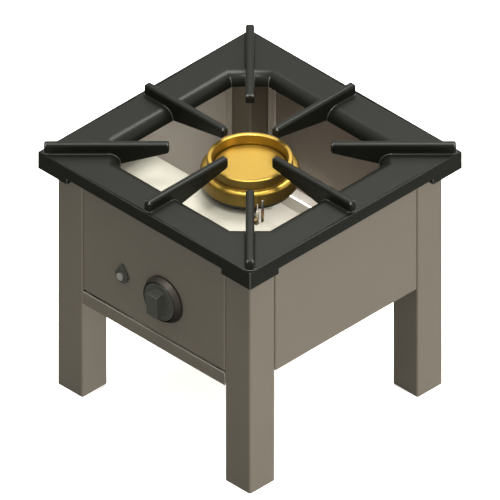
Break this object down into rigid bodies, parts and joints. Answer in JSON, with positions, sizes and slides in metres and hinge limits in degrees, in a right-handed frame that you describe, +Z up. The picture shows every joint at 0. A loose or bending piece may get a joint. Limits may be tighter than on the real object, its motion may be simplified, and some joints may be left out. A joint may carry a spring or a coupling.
{
  "type": "stock pot range",
  "caption": "Low square floor-standing stock pot range with a round brass gas burner under a heavy cast pan support, a control knob, a push igniter and a slide-out drip tray",
  "frame": {"origin": "on the floor under the burner's axis, at the middle of the four feet", "axes": "+Z up, the side with the control knob faces -Y, the gas inlet leaves at +Y, +X to the right seen from the front"},
  "size_m": [0.424, 0.438, 0.417],
  "materials": {
    "brushed_stainless": "satin brushed",
    "bright_sheet": "bright cold-rolled",
    "cast_iron": "black enamelled casting",
    "burner_brass": "machined",
    "fitting_brass": "machined",
    "zinc_steel": "zinc plated",
    "bezel_steel": "satin",
    "black_phenolic": "moulded satin",
    "button_plastic": "moulded",
    "probe_steel": "heat tinted",
    "electrode_ceramic": "glazed",
    "lead_copper": "drawn copper",
    "lead_rubber": "smooth"
  },
  "bodies": {
    "root": {"leg_front_left": "brushed_stainless", "leg_front_right": "brushed_stainless", "leg_rear_left": "brushed_stainless", "leg_rear_right": "brushed_stainless", "foot_plugs": "black_phenolic", "leg_top_plates": "brushed_stainless", "front_panel": "brushed_stainless", "left_panel": "brushed_stainless", "right_panel": "brushed_stainless", "back_panel": "brushed_stainless", "panel_rivets": "brushed_stainless", "tray_runner_left": "brushed_stainless", "tray_runner_right": "brushed_stainless", "runner_rivets": "brushed_stainless", "burner_rail": "zinc_steel", "heat_shield": "bright_sheet", "shield_screws": "zinc_steel", "burner_body": "cast_iron", "burner_crown": "burner_brass", "burner_cap": "burner_brass", "mixing_tube": "cast_iron", "burner_bolts": "zinc_steel", "injector_bracket": "zinc_steel", "injector_holder": "fitting_brass", "holder_nut": "zinc_steel", "injector": "fitting_brass", "gas_valve_body": "fitting_brass", "valve_bonnet": "fitting_brass", "bonnet_screws": "zinc_steel", "valve_screws": "zinc_steel", "spindle_spring": "zinc_steel", "knob_bezel": "bezel_steel", "igniter_collar": "black_phenolic", "igniter_body": "black_phenolic", "igniter_nut": "zinc_steel", "igniter_spring": "zinc_steel", "pilot_bracket": "zinc_steel", "pilot_burner": "probe_steel", "thermocouple": "probe_steel", "spark_electrode": "electrode_ceramic", "pilot_nuts": "zinc_steel", "burner_pipe": "zinc_steel", "inlet_pipe": "zinc_steel", "pilot_pipe": "zinc_steel", "thermocouple_lead": "lead_copper", "ignition_lead": "lead_rubber", "pipe_nuts": "fitting_brass", "inlet_fitting": "fitting_brass", "inlet_locknut": "fitting_brass"},
    "drip_tray": {"drip_tray": "bright_sheet"},
    "pan_support": {"pan_support": "cast_iron"},
    "valve_plug": {"valve_plug": "fitting_brass"},
    "knob": {"control_knob": "black_phenolic", "valve_spindle": "zinc_steel", "knob_clip": "zinc_steel"},
    "igniter_button": {"igniter_button": "button_plastic"},
    "air_shutter": {"air_shutter": "zinc_steel", "shutter_screw": "zinc_steel"}
  },
  "joints": [
    {"name": "tray_slide", "type": "slide", "parent": "root", "child": "drip_tray", "axis": [0, -1, 0], "range_m": [0, 0.3]},
    {"name": "pan_support_lift", "type": "slide", "parent": "root", "child": "pan_support", "axis": [0, 0, 1], "range_m": [0, 0.06]},
    {"name": "knob_turn", "type": "hinge", "parent": "root", "child": "valve_plug", "pos_m": [0.0216, -0.1834, 0.253], "axis": [0, -1, 0], "range_deg": [0, 180]},
    {"name": "knob_push", "type": "slide", "parent": "valve_plug", "child": "knob", "axis": [0, 1, 0], "range_m": [0, 0.003], "stiffness_N_per_m": 800, "springref_m": -0.004, "deforming": ["spindle_spring"]},
    {"name": "igniter_push", "type": "slide", "parent": "root", "child": "igniter_button", "axis": [0, 1, 0], "range_m": [0, 0.004], "stiffness_N_per_m": 600, "springref_m": -0.004, "deforming": ["igniter_spring"]},
    {"name": "shutter_slide", "type": "slide", "parent": "root", "child": "air_shutter", "axis": [0, 1, 0], "range_m": [0, 0.007]}
  ]
}
